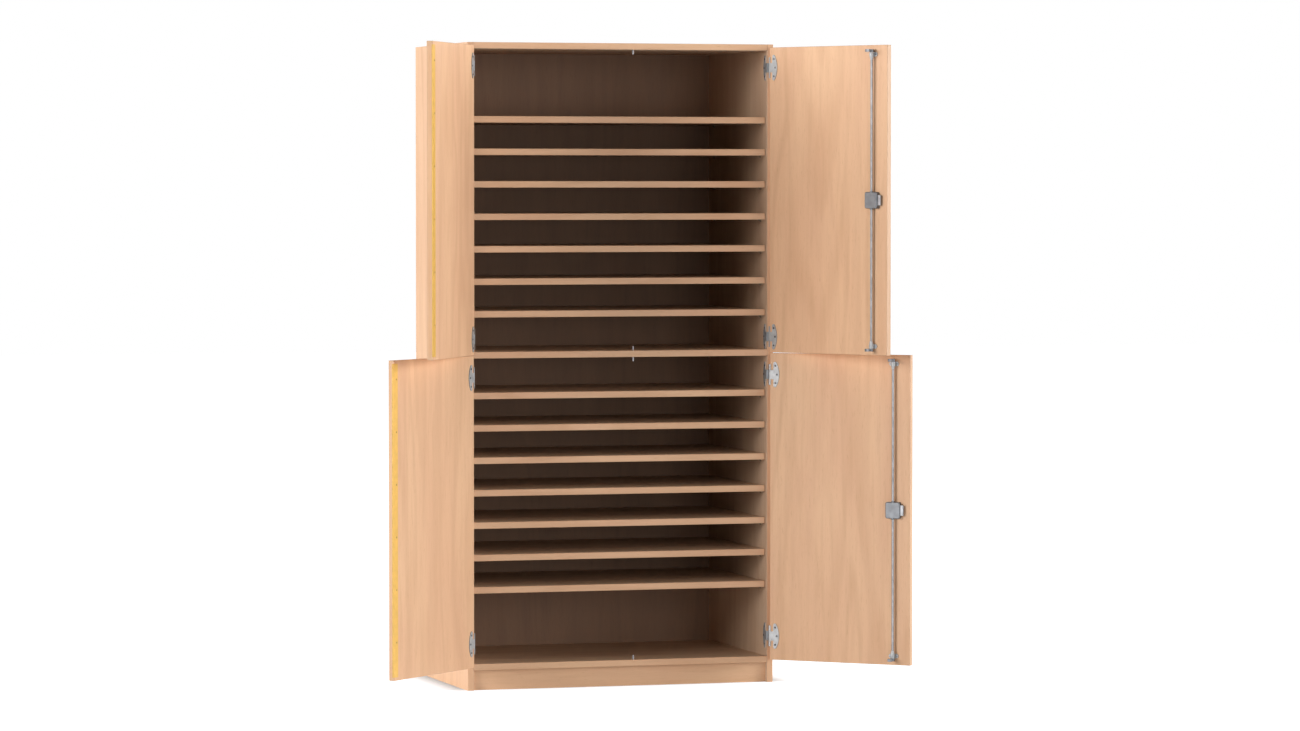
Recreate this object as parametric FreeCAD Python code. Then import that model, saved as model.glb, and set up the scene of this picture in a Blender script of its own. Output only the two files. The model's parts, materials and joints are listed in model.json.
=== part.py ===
import FreeCAD, Part
import math
import os

from FreeCAD import Vector

# Carcass boards
WIDTH = 949.0
HEIGHT = 1916.0
DEPTH = 612.0
BOARD = 19.0
EDGE_CHAMFER = 1.0
MIDDLE_TOP = 1002.0
PLINTH_HEIGHT = 59.5
PLINTH_SETBACK = 15.0

# Back panel, held in grooves of the sides, top and bottom
BACK_BOARD = 8.0
BACK_RECESS = 26.0
GROOVE_DEPTH = 7.0
GROOVE_CLEARANCE = 0.3

# Loose shelves, evenly spaced between the first one and the free height over the last one
SHELF_BOARD = 19.0
SHELF_COUNT = 7
UPPER_FIRST_RISE = 120.5
LOWER_FIRST_RISE = 226.5
UPPER_HEADROOM = 198.5
LOWER_HEADROOM = 102.0
SHELF_BACK_GAP = 2.0
SHELF_LOCK_GAP = 4.0
SHELF_LEAF_GAP = 0.5

# Wedge-shaped shelf pegs
PEG_WIDTH = 9.0
PEG_DROP = 8.0
PEG_REACH = 8.0
PEG_FROM_FRONT = 60.0
PEG_FROM_BACK = 60.0

# Doors, and how far each one stands open
DOOR_BOARD = 18.0
DOOR_FACE_GAP = 4.0
DOOR_SIDE_OVERLAY = 2.0
DOOR_END_OVERLAY = 9.5
DOOR_CENTRE_GAP = 2.0
DOOR_MIDDLE_GAP = 2.2
UPPER_LEFT_OPEN_ANGLE = 120.0
UPPER_RIGHT_OPEN_ANGLE = 120.9
LOWER_LEFT_OPEN_ANGLE = 135.2
LOWER_RIGHT_OPEN_ANGLE = 137.3

# Cranked hinges: bowed leaf, neck, tall flange and three knuckles on one pin
LEAF_PLATE = 1.8
LEAF_HEIGHT = 76.0
LEAF_WIDTH = 18.5
LEAF_TIP_WIDTH = 10.0
LEAF_TIP_CHAMFER = 3.5
NECK_HEIGHT = 28.0
NECK_LENGTH = 12.0
FLANGE_HEIGHT = 62.0
FLANGE_FOOT = 3.0
BEND_CHAMFER = 0.8
BARREL_RADIUS = 3.3
BARREL_EDGE_GAP = 0.3
BARREL_TURN_GAP = 0.5
KNUCKLE_GAP = 0.2
AXIS_OFF_DOOR = 6.05
PIN_RADIUS = 1.7
PIN_CLEARANCE = 0.05
UPPER_TOP_LEAF_GAP = 13.0
UPPER_BOTTOM_LEAF_GAP = 0.5
LOWER_TOP_LEAF_GAP = 18.0
LOWER_BOTTOM_LEAF_GAP = 24.0

# Stop strips on the left doors
STRIP_SEAT = 17.0
STRIP_REACH = 12.0
STRIP_PLATE = 3.2
STRIP_RELIEF = 0.5
STRIP_END_GAP = 1.0
STRIP_CHAMFER = 0.8

# Turning rods on the right doors, with a hook at each end
ROD_RADIUS = 3.5
ROD_FROM_EDGE = 51.5
ROD_OFF_FACE = 10.0
ROD_END_GAP = 3.0
ROD_CLEARANCE = 0.1
ROD_TURN_ANGLE = 45.0
HUB_RADIUS = 6.5
HUB_CLEARANCE = 0.05
HOOK_HEIGHT = 8.0
HOOK_ARM = 5.0
HOOK_FINGER = 4.0
HOOK_CLEARANCE = 0.45
HOOK_LEAD_ANGLE = 10.0
HOOK_TRAIL_ANGLE = 28.0

# Striker pins that the hooks grip
STRIKER_RADIUS = 2.75
STRIKER_SIDEWAYS = 12.5
STRIKER_INWARD = 9.0
STRIKER_PAST_HOOK = 2.0

# Rod guides: two ears, a saddle and a tapered collar
GUIDE_WIDTH = 30.0
GUIDE_HEIGHT = 13.0
GUIDE_EAR = 3.0
GUIDE_CORNER = 4.0
GUIDE_WALL = 2.7
GUIDE_HOOK_GAP = 0.5
COLLAR_LENGTH = 9.0
COLLAR_WALL = 0.8

# Lock cases
CASE_WIDTH = 46.0
CASE_HEIGHT = 49.0
CASE_WALL = 1.4
CASE_CORNER = 4.0
CASE_CHAMFER = 2.0
CASE_BOSS = 3.0

# Sliding bolts
BOLT_HEIGHT = 30.0
BOLT_PLATE = 6.0
BOLT_REACH = 10.0
BOLT_STRIP_GAP = 1.0
BOLT_CLEARANCE = 0.3
BOLT_ROUND = 1.5

# Turn grips on the outer faces of the right doors
SPINDLE_RADIUS = 4.0
SPINDLE_FROM_ROD = 12.0
SPINDLE_CLEARANCE = 0.1
SPINDLE_SEAT = 3.0
GRIP_RADIUS = 17.0
GRIP_BASE = 6.0
GRIP_FACE_GAP = 0.3
GRIP_BAR_LENGTH = 31.0
GRIP_BAR_WIDTH = 10.0
GRIP_BAR_HEIGHT = 15.0
GRIP_BAR_CORNER = 3.0
GRIP_BAR_CHAMFER = 1.5
GRIP_TAPER = 2.5

# Number of flats on small turned pieces and bores
TURNED_FLAT_COUNT = 14
GRIP_FLAT_COUNT = 32

# Levels and planes that follow from the sizes above
FRONT_Y = -(PLINTH_SETBACK + BOARD / 2)
REAR_Y = FRONT_Y + DEPTH
BACK_Y = REAR_Y - BACK_RECESS - BACK_BOARD
INNER_X = WIDTH / 2 - BOARD
BOTTOM_TOP = PLINTH_HEIGHT + BOARD
MIDDLE_UNDER = MIDDLE_TOP - BOARD
TOP_UNDER = HEIGHT - BOARD
DOOR_FACE_Y = FRONT_Y - DOOR_FACE_GAP
DOOR_EDGE_X = INNER_X + DOOR_SIDE_OVERLAY
DOOR_FREE_X = DOOR_CENTRE_GAP / 2
AXIS_X = DOOR_EDGE_X + BARREL_EDGE_GAP + BARREL_RADIUS
AXIS_Y = DOOR_FACE_Y - AXIS_OFF_DOOR
ROD_X = DOOR_FREE_X + ROD_FROM_EDGE
ROD_Y = DOOR_FACE_Y + ROD_OFF_FACE
ROD_BORE = ROD_RADIUS + ROD_CLEARANCE
CASE_DEPTH = ROD_OFF_FACE + ROD_BORE + CASE_WALL
SPINDLE_X = ROD_X - SPINDLE_FROM_ROD
STRIKER_X = ROD_X - STRIKER_SIDEWAYS
STRIKER_Y = ROD_Y + STRIKER_INWARD
BOLT_Y = DOOR_FACE_Y + STRIP_PLATE + BOLT_STRIP_GAP

AXIS_DIR_X = Vector(1, 0, 0)
AXIS_DIR_Y = Vector(0, 1, 0)
AXIS_DIR_Z = Vector(0, 0, 1)


def box(x0, x1, y0, y1, z0, z1):
    return Part.makeBox(x1 - x0, y1 - y0, z1 - z0, Vector(x0, y0, z0))


def rod_z(x, y, z0, z1, radius):
    return Part.makeCylinder(radius, z1 - z0, Vector(x, y, z0), AXIS_DIR_Z)


def rod_y(x, z, y0, y1, radius):
    return Part.makeCylinder(radius, y1 - y0, Vector(x, y0, z), AXIS_DIR_Y)


def ring(centre, radius, across, up, flats=TURNED_FLAT_COUNT, inside=False):
    """A closed outline of small flats, whose corners (or flats, for a bore) lie at the radius."""
    reach = radius / math.cos(math.pi / flats) if inside else radius
    turns = [2 * math.pi * i / flats for i in range(flats + 1)]
    return Part.makePolygon([centre + across * reach * math.cos(t) + up * reach * math.sin(t) for t in turns])


def flats_z(x, y, z0, z1, radius, inside=False):
    outline = ring(Vector(x, y, z0), radius, AXIS_DIR_X, AXIS_DIR_Y, inside=inside)
    return Part.Face(outline).extrude(Vector(0, 0, z1 - z0))


def joined(shapes):
    return shapes[0].fuse(shapes[1:]).removeSplitter()


def ease_front(board):
    front = board.BoundBox.YMin
    long_edges = [
        edge
        for edge in board.Edges
        if edge.BoundBox.YMax < front + EDGE_CHAMFER / 2 and edge.Length > 2 * BOARD
    ]
    return board.makeChamfer(EDGE_CHAMFER, long_edges)


def on_side(shape, hand):
    if hand == "left":
        return shape.mirror(Vector(0, 0, 0), AXIS_DIR_X)
    return shape


def hung(shape, hand, angle):
    """A right-hand piece of a closed door, put on its side and swung open about the hinge axis."""
    turn = -1 if hand == "left" else 1
    swung = on_side(shape, hand).copy()
    swung.rotate(Vector(turn * AXIS_X, AXIS_Y, 0), AXIS_DIR_Z, turn * angle)
    return swung


def back_groove(x0, x1, z0, z1):
    return box(x0, x1, BACK_Y, BACK_Y + BACK_BOARD + GROOVE_CLEARANCE, z0, z1)


def side_panel():
    board = ease_front(box(INNER_X, INNER_X + BOARD, FRONT_Y, REAR_Y, 0, HEIGHT))
    groove = back_groove(
        INNER_X, INNER_X + GROOVE_DEPTH, BOTTOM_TOP - GROOVE_DEPTH, TOP_UNDER + GROOVE_DEPTH
    )
    return board.cut(groove)


def top_panel():
    board = ease_front(box(-INNER_X, INNER_X, FRONT_Y, REAR_Y, TOP_UNDER, HEIGHT))
    return board.cut(back_groove(-INNER_X, INNER_X, TOP_UNDER, TOP_UNDER + GROOVE_DEPTH))


def bottom_panel():
    board = ease_front(box(-INNER_X, INNER_X, FRONT_Y, REAR_Y, PLINTH_HEIGHT, BOTTOM_TOP))
    return board.cut(back_groove(-INNER_X, INNER_X, BOTTOM_TOP - GROOVE_DEPTH, BOTTOM_TOP))


def middle_shelf():
    return ease_front(box(-INNER_X, INNER_X, FRONT_Y, BACK_Y, MIDDLE_UNDER, MIDDLE_TOP))


def plinth_board():
    front = FRONT_Y + PLINTH_SETBACK
    return box(-INNER_X, INNER_X, front, front + BOARD, 0, PLINTH_HEIGHT)


def back_panel():
    half = INNER_X + GROOVE_DEPTH - GROOVE_CLEARANCE
    top = TOP_UNDER + GROOVE_DEPTH - GROOVE_CLEARANCE
    return box(-half, half, BACK_Y, BACK_Y + BACK_BOARD, BOTTOM_TOP - GROOVE_DEPTH, top)


def shelf_tops(floor, first_rise, ceiling, headroom):
    first = floor + first_rise
    pitch = (ceiling - headroom - first) / (SHELF_COUNT - 1)
    return [first + pitch * i for i in range(SHELF_COUNT)]


def loose_shelf(top):
    half = INNER_X - LEAF_PLATE - SHELF_LEAF_GAP
    front = DOOR_FACE_Y + CASE_DEPTH + SHELF_LOCK_GAP
    return ease_front(box(-half, half, front, BACK_Y - SHELF_BACK_GAP, top - SHELF_BOARD, top))


def shelf_pegs(tops):
    pegs = []
    for top in tops:
        under = top - SHELF_BOARD
        for y in (FRONT_Y + PEG_FROM_FRONT, BACK_Y - PEG_FROM_BACK):
            start = y - PEG_WIDTH / 2
            corners = [
                Vector(INNER_X, start, under),
                Vector(INNER_X - PEG_REACH, start, under),
                Vector(INNER_X, start, under - PEG_DROP),
            ]
            peg = Part.Face(Part.makePolygon(corners + corners[:1])).extrude(Vector(0, PEG_WIDTH, 0))
            pegs += [on_side(peg, "left"), peg]
    return Part.makeCompound(pegs)


def door_panel(z0, z1):
    board = box(DOOR_FREE_X, DOOR_EDGE_X, DOOR_FACE_Y - DOOR_BOARD, DOOR_FACE_Y, z0, z1)
    return board.makeChamfer(EDGE_CHAMFER, board.Edges)


def lockable_door_panel(z0, z1):
    bore = rod_y(
        SPINDLE_X, (z0 + z1) / 2, DOOR_FACE_Y - DOOR_BOARD, DOOR_FACE_Y, SPINDLE_RADIUS + SPINDLE_CLEARANCE
    )
    return door_panel(z0, z1).cut(bore)


def bowed_leaf(point, normal):
    """The screwed-on part of a hinge leaf: a crescent with blunt tips on a straight neck."""
    tip = LEAF_HEIGHT / 2
    neck = NECK_HEIGHT / 2
    shoulder = tip - LEAF_TIP_CHAMFER
    near = NECK_LENGTH
    far = NECK_LENGTH + LEAF_TIP_WIDTH
    bow = Part.Arc(point(far, shoulder), point(NECK_LENGTH + LEAF_WIDTH, 0), point(far, -shoulder)).toShape()
    rest = [
        point(far, -shoulder),
        point(far - LEAF_TIP_CHAMFER, -tip),
        point(near + LEAF_TIP_CHAMFER, -tip),
        point(near, -shoulder),
        point(near, -neck),
        point(0, -neck),
        point(0, neck),
        point(near, neck),
        point(near, shoulder),
        point(near + LEAF_TIP_CHAMFER, tip),
        point(far - LEAF_TIP_CHAMFER, tip),
        point(far, shoulder),
    ]
    outline = Part.Wire([bow] + Part.makePolygon(rest).Edges)
    return Part.Face(outline).extrude(normal * LEAF_PLATE)


def knuckle(z0, z1):
    barrel = flats_z(AXIS_X, AXIS_Y, z0, z1, BARREL_RADIUS)
    return barrel, flats_z(AXIS_X, AXIS_Y, z0, z1, PIN_RADIUS + PIN_CLEARANCE, inside=True)


def door_leaf(zc):
    """Bow on the door's inner face, flange bent round its edge, two end knuckles."""
    bow = bowed_leaf(lambda s, z: Vector(DOOR_EDGE_X - s, DOOR_FACE_Y, zc + z), AXIS_DIR_Y)
    half = FLANGE_HEIGHT / 2
    outer = AXIS_X - BARREL_RADIUS + LEAF_PLATE
    face = DOOR_FACE_Y + LEAF_PLATE
    foot = box(DOOR_EDGE_X - FLANGE_FOOT, outer, DOOR_FACE_Y, face, zc - half, zc + half)
    flange = box(outer - LEAF_PLATE, outer, AXIS_Y, face, zc - half, zc + half)
    angle = joined([foot, flange])
    bend = [
        edge
        for edge in angle.Edges
        if edge.BoundBox.XMin > outer - PIN_CLEARANCE
        and edge.BoundBox.YMin > face - PIN_CLEARANCE
        and edge.Length > NECK_HEIGHT
    ]
    angle = angle.makeChamfer(BEND_CHAMFER, bend)
    free = NECK_HEIGHT / 2 + KNUCKLE_GAP
    notch_top = AXIS_Y + BARREL_RADIUS + BARREL_TURN_GAP
    notch = box(DOOR_EDGE_X, outer, AXIS_Y, notch_top, zc - free, zc + free)
    lower, lower_bore = knuckle(zc - half, zc - free)
    upper, upper_bore = knuckle(zc + free, zc + half)
    return joined([bow, angle.cut(notch), lower, upper]).cut(lower_bore).cut(upper_bore)


def carcass_leaf(zc):
    """Bow on the side panel's inner face, neck wrapped round its front corner, middle knuckle."""
    half = NECK_HEIGHT / 2
    bow = bowed_leaf(lambda s, z: Vector(INNER_X, FRONT_Y + s, zc + z), -AXIS_DIR_X)
    outer = AXIS_X + BARREL_RADIUS
    wrap = box(INNER_X - LEAF_PLATE, outer, FRONT_Y - LEAF_PLATE, FRONT_Y, zc - half, zc + half)
    arm = box(outer - LEAF_PLATE, outer, AXIS_Y, FRONT_Y, zc - half, zc + half)
    bracket = joined([wrap, arm])
    bend = [
        edge
        for edge in bracket.Edges
        if edge.BoundBox.XMin > outer - PIN_CLEARANCE
        and edge.BoundBox.YMin > FRONT_Y - PIN_CLEARANCE
        and edge.Length > NECK_LENGTH
    ]
    barrel, bore = knuckle(zc - half, zc + half)
    return joined([bow, bracket.makeChamfer(BEND_CHAMFER, bend), barrel]).cut(bore)


def hinge_pin(zc):
    half = FLANGE_HEIGHT / 2
    return rod_z(AXIS_X, AXIS_Y, zc - half, zc + half, PIN_RADIUS)


def stop_strip(floor, ceiling):
    strip = box(
        DOOR_FREE_X - STRIP_REACH,
        DOOR_FREE_X + STRIP_SEAT,
        DOOR_FACE_Y,
        DOOR_FACE_Y + STRIP_PLATE,
        floor + STRIP_END_GAP,
        ceiling - STRIP_END_GAP,
    )
    room_side = [
        edge
        for edge in strip.Edges
        if edge.BoundBox.YMin > DOOR_FACE_Y + STRIP_RELIEF and edge.Length > STRIP_SEAT + STRIP_REACH
    ]
    relief = box(
        DOOR_FREE_X - STRIP_REACH, DOOR_FREE_X, DOOR_FACE_Y, DOOR_FACE_Y + STRIP_RELIEF, floor, ceiling
    )
    return strip.makeChamfer(STRIP_CHAMFER, room_side).cut(relief)


def rod_levels(floor, ceiling):
    return floor + ROD_END_GAP, ceiling - ROD_END_GAP


def lock_rod(floor, ceiling):
    z0, z1 = rod_levels(floor, ceiling)
    return rod_z(ROD_X, ROD_Y, z0, z1, ROD_RADIUS)


def rod_hook(z0):
    """Hub, radial arm and a finger on a circle round the rod, turned back from the striker pin."""
    z1 = z0 + HOOK_HEIGHT
    reach = math.hypot(STRIKER_SIDEWAYS, STRIKER_INWARD)
    inner = reach + STRIKER_RADIUS + HOOK_CLEARANCE
    outer = inner + HOOK_FINGER
    middle = inner + HOOK_FINGER / 2
    striker_at = math.degrees(math.atan2(STRIKER_INWARD, -STRIKER_SIDEWAYS)) - ROD_TURN_ANGLE
    start = striker_at - HOOK_TRAIL_ANGLE
    span = HOOK_TRAIL_ANGLE + HOOK_LEAD_ANGLE
    centre = Vector(ROD_X, ROD_Y, z0)
    hub = flats_z(ROD_X, ROD_Y, z0, z1, HUB_RADIUS)
    arm = box(ROD_X, ROD_X + middle, ROD_Y - HOOK_ARM / 2, ROD_Y + HOOK_ARM / 2, z0, z1)
    sector = Part.makeCylinder(outer, HOOK_HEIGHT, centre, AXIS_DIR_Z, span)
    finger = sector.cut(Part.makeCylinder(inner, HOOK_HEIGHT, centre, AXIS_DIR_Z))
    hook = joined([hub, arm, finger])
    hook = hook.cut(flats_z(ROD_X, ROD_Y, z0, z1, ROD_RADIUS + HUB_CLEARANCE, inside=True))
    hook.rotate(centre, AXIS_DIR_Z, start)
    return hook


def rod_hooks(floor, ceiling):
    z0, z1 = rod_levels(floor, ceiling)
    return Part.makeCompound([rod_hook(z0), rod_hook(z1 - HOOK_HEIGHT)])


def rod_guide(z0, collar_up):
    z1 = z0 + GUIDE_HEIGHT
    saddle_radius = ROD_BORE + GUIDE_WALL
    half = GUIDE_WIDTH / 2
    ears = box(ROD_X - half, ROD_X + half, DOOR_FACE_Y, DOOR_FACE_Y + GUIDE_EAR, z0, z1)
    corners = [edge for edge in ears.Edges if edge.BoundBox.YLength > GUIDE_EAR / 2]
    ears = ears.makeChamfer(GUIDE_CORNER, corners)
    saddle = [
        flats_z(ROD_X, ROD_Y, z0, z1, saddle_radius),
        box(ROD_X - saddle_radius, ROD_X + saddle_radius, DOOR_FACE_Y, ROD_Y, z0, z1),
    ]
    start = Vector(ROD_X, ROD_Y, z1 if collar_up else z0)
    end = start + AXIS_DIR_Z * (COLLAR_LENGTH if collar_up else -COLLAR_LENGTH)
    collar = Part.makeLoft(
        [
            ring(start, saddle_radius, AXIS_DIR_X, AXIS_DIR_Y),
            ring(end, ROD_BORE + COLLAR_WALL, AXIS_DIR_X, AXIS_DIR_Y),
        ],
        True,
        True,
    )
    bore = flats_z(ROD_X, ROD_Y, z0 - COLLAR_LENGTH, z1 + COLLAR_LENGTH, ROD_BORE, inside=True)
    return joined([ears] + saddle + [collar]).cut(bore)


def rod_guides(floor, ceiling):
    z0, z1 = rod_levels(floor, ceiling)
    step = HOOK_HEIGHT + GUIDE_HOOK_GAP
    return Part.makeCompound([rod_guide(z0 + step, True), rod_guide(z1 - step - GUIDE_HEIGHT, False)])


def lock_case(zc):
    """Housing with a bore for the rod, a pocket for the bolt and a seat for the spindle."""
    x0 = ROD_X - CASE_WIDTH / 2
    x1 = ROD_X + CASE_WIDTH / 2
    z0 = zc - CASE_HEIGHT / 2
    z1 = zc + CASE_HEIGHT / 2
    block = box(x0, x1, DOOR_FACE_Y, DOOR_FACE_Y + CASE_DEPTH, z0, z1)
    corners = [edge for edge in block.Edges if edge.BoundBox.YLength > CASE_DEPTH / 2]
    block = block.makeChamfer(CASE_CORNER, corners)
    rim = [edge for edge in block.Edges if edge.BoundBox.YMin > DOOR_FACE_Y + CASE_DEPTH / 2]
    block = block.makeChamfer(CASE_CHAMFER, rim)
    boss = flats_z(ROD_X, ROD_Y, z0 - CASE_BOSS, z1 + CASE_BOSS, ROD_BORE + CASE_WALL)
    bore = flats_z(ROD_X, ROD_Y, z0 - CASE_BOSS, z1 + CASE_BOSS, ROD_BORE, inside=True)
    pocket = box(
        x0,
        ROD_X - ROD_BORE - CASE_WALL,
        BOLT_Y - BOLT_CLEARANCE,
        BOLT_Y + BOLT_PLATE + BOLT_CLEARANCE,
        zc - BOLT_HEIGHT / 2 - BOLT_CLEARANCE,
        zc + BOLT_HEIGHT / 2 + BOLT_CLEARANCE,
    )
    seat_end = DOOR_FACE_Y + SPINDLE_SEAT + SPINDLE_CLEARANCE
    seat = rod_y(SPINDLE_X, zc, DOOR_FACE_Y, seat_end, SPINDLE_RADIUS + SPINDLE_CLEARANCE)
    return joined([block, boss]).cut(bore).cut(pocket).cut(seat)


def lock_bolt(zc):
    bolt = box(
        ROD_X - CASE_WIDTH / 2 - BOLT_REACH,
        ROD_X - ROD_BORE - CASE_WALL - BOLT_CLEARANCE,
        BOLT_Y,
        BOLT_Y + BOLT_PLATE,
        zc - BOLT_HEIGHT / 2,
        zc + BOLT_HEIGHT / 2,
    )
    nose = [edge for edge in bolt.Edges if edge.BoundBox.XMax < bolt.BoundBox.XMin + BOLT_ROUND]
    return bolt.makeFillet(BOLT_ROUND, nose)


def turn_grip(zc):
    """Round base with an upright finger bar, on a spindle that runs through the door into the case."""
    outer = DOOR_FACE_Y - DOOR_BOARD - GRIP_FACE_GAP
    base_front = outer - GRIP_BASE
    foot = Vector(SPINDLE_X, outer, zc)
    face = Vector(SPINDLE_X, base_front, zc)
    base = Part.makeLoft(
        [
            ring(foot, GRIP_RADIUS, AXIS_DIR_X, AXIS_DIR_Z, GRIP_FLAT_COUNT),
            ring(face, GRIP_RADIUS - GRIP_TAPER, AXIS_DIR_X, AXIS_DIR_Z, GRIP_FLAT_COUNT),
        ],
        True,
        True,
    )
    bar_front = base_front - GRIP_BAR_HEIGHT
    bar = box(
        SPINDLE_X - GRIP_BAR_WIDTH / 2,
        SPINDLE_X + GRIP_BAR_WIDTH / 2,
        bar_front,
        base_front,
        zc - GRIP_BAR_LENGTH / 2,
        zc + GRIP_BAR_LENGTH / 2,
    )
    corners = [edge for edge in bar.Edges if edge.BoundBox.YLength > GRIP_BAR_HEIGHT / 2]
    bar = bar.makeChamfer(GRIP_BAR_CORNER, corners)
    crest = [edge for edge in bar.Edges if edge.BoundBox.YMax < bar_front + GRIP_BAR_CHAMFER]
    bar = bar.makeChamfer(GRIP_BAR_CHAMFER, crest)
    spindle = rod_y(SPINDLE_X, zc, outer, DOOR_FACE_Y + SPINDLE_SEAT, SPINDLE_RADIUS)
    return joined([base, bar, spindle])


def striker_pin(face, upward):
    """A round pin on a board, long enough to reach past the hook."""
    length = ROD_END_GAP + HOOK_HEIGHT + STRIKER_PAST_HOOK
    z0, z1 = (face, face + length) if upward else (face - length, face)
    return flats_z(STRIKER_X, STRIKER_Y, z0, z1, STRIKER_RADIUS)


def hinge_levels(floor, ceiling, bottom_gap, top_gap):
    half = LEAF_HEIGHT / 2
    return {"bottom": floor + bottom_gap + half, "top": ceiling - top_gap - half}


def carcass_parts():
    uppers = shelf_tops(MIDDLE_TOP, UPPER_FIRST_RISE, TOP_UNDER, UPPER_HEADROOM)
    lowers = shelf_tops(BOTTOM_TOP, LOWER_FIRST_RISE, MIDDLE_UNDER, LOWER_HEADROOM)
    found = {
        "left_side_panel": on_side(side_panel(), "left"),
        "right_side_panel": side_panel(),
        "top_panel": top_panel(),
        "bottom_panel": bottom_panel(),
        "middle_shelf": middle_shelf(),
        "plinth_board": plinth_board(),
        "back_panel": back_panel(),
        "shelf_pegs": shelf_pegs(uppers + lowers),
        "striker_pins": Part.makeCompound(
            [
                striker_pin(BOTTOM_TOP, True),
                striker_pin(MIDDLE_UNDER, False),
                striker_pin(MIDDLE_TOP, True),
                striker_pin(TOP_UNDER, False),
            ]
        ),
    }
    for level, tops in (("upper", uppers), ("lower", lowers)):
        for i, top in enumerate(tops):
            found[f"{level}_shelf_{i + 1}"] = loose_shelf(top)
    return found


def door_parts(level, hand, floor, ceiling, z0, z1, hinges, angle):
    """One door with its hinge leaves and either its lock or its stop strip, at its open angle."""
    found = {}
    middle = (z0 + z1) / 2
    if hand == "left":
        closed = {f"{level}_left_door": door_panel(z0, z1), f"{level}_stop_strip": stop_strip(floor, ceiling)}
    else:
        closed = {
            f"{level}_right_door": lockable_door_panel(z0, z1),
            f"{level}_lock_case": lock_case(middle),
            f"{level}_lock_rod": lock_rod(floor, ceiling),
            f"{level}_rod_hooks": rod_hooks(floor, ceiling),
            f"{level}_rod_guides": rod_guides(floor, ceiling),
            f"{level}_lock_bolt": lock_bolt(middle),
            f"{level}_turn_grip": turn_grip(middle),
        }
    for end, zc in hinges.items():
        closed[f"{level}_{hand}_door_leaf_{end}"] = door_leaf(zc)
        found[f"{level}_{hand}_carcass_leaf_{end}"] = on_side(carcass_leaf(zc), hand)
    for name, shape in closed.items():
        found[name] = hung(shape, hand, angle)
    return found


def all_parts():
    found = carcass_parts()
    seam = (MIDDLE_TOP + MIDDLE_UNDER) / 2
    upper_hinges = hinge_levels(MIDDLE_TOP, TOP_UNDER, UPPER_BOTTOM_LEAF_GAP, UPPER_TOP_LEAF_GAP)
    lower_hinges = hinge_levels(BOTTOM_TOP, MIDDLE_UNDER, LOWER_BOTTOM_LEAF_GAP, LOWER_TOP_LEAF_GAP)
    half_gap = DOOR_MIDDLE_GAP / 2
    upper = (MIDDLE_TOP, TOP_UNDER, seam + half_gap, TOP_UNDER + DOOR_END_OVERLAY, upper_hinges)
    lower = (BOTTOM_TOP, MIDDLE_UNDER, BOTTOM_TOP - DOOR_END_OVERLAY, seam - half_gap, lower_hinges)
    pins = []
    for hand, upper_angle, lower_angle in (
        ("left", UPPER_LEFT_OPEN_ANGLE, LOWER_LEFT_OPEN_ANGLE),
        ("right", UPPER_RIGHT_OPEN_ANGLE, LOWER_RIGHT_OPEN_ANGLE),
    ):
        found.update(door_parts("upper", hand, *upper, upper_angle))
        found.update(door_parts("lower", hand, *lower, lower_angle))
        for zc in list(upper_hinges.values()) + list(lower_hinges.values()):
            pins.append(on_side(hinge_pin(zc), hand))
    found["hinge_pins"] = Part.makeCompound(pins)
    return found


def main():
    os.makedirs("parts", exist_ok=True)
    for name, shape in all_parts().items():
        shape.exportStep(os.path.join("parts", name + ".step"))


main()
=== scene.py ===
import json
import math
from functools import partial
from typing import NamedTuple

import bmesh
import bpy
from bpy.props import FloatProperty, FloatVectorProperty, IntProperty, PointerProperty
from mathutils import Matrix, Vector


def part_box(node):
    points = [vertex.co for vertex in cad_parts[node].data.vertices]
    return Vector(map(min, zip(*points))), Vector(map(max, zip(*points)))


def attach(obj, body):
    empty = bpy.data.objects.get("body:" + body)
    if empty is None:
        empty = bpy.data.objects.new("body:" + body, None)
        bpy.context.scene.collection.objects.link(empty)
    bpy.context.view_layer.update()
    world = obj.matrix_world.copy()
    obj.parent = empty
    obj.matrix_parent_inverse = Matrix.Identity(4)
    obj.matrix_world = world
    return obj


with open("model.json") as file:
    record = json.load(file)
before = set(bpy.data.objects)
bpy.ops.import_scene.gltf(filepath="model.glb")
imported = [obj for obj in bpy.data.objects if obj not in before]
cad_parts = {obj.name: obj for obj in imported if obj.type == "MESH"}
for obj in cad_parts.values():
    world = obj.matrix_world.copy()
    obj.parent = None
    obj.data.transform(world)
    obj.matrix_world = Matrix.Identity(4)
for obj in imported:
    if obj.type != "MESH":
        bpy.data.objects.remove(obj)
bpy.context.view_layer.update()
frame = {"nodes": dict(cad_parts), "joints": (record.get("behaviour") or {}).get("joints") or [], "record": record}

bl_info = {
    "name": "Craft Cabinet Dressing",
    "version": (1, 0, 0),
    "blender": (4, 5, 0),
    "location": "View3D > Sidebar > Cabinet",
    "description": "Finishes, screws and stage for a four-door craft cabinet",
    "category": "Object",
}

LEVELS = ("upper", "lower")
HANDS = ("left", "right")
ENDS = ("top", "bottom")
LAMPS = ("left", "left_back", "right", "right_back", "right_front", "front")
X_AXIS, Z_AXIS = 0, 2
WHITE = (1.0, 1.0, 1.0)

# Directions across the cabinet and from a closed door into it
SIDEWAYS = Vector((1.0, 0.0, 0.0))
INTO_CABINET = Vector((0.0, 1.0, 0.0))


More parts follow.
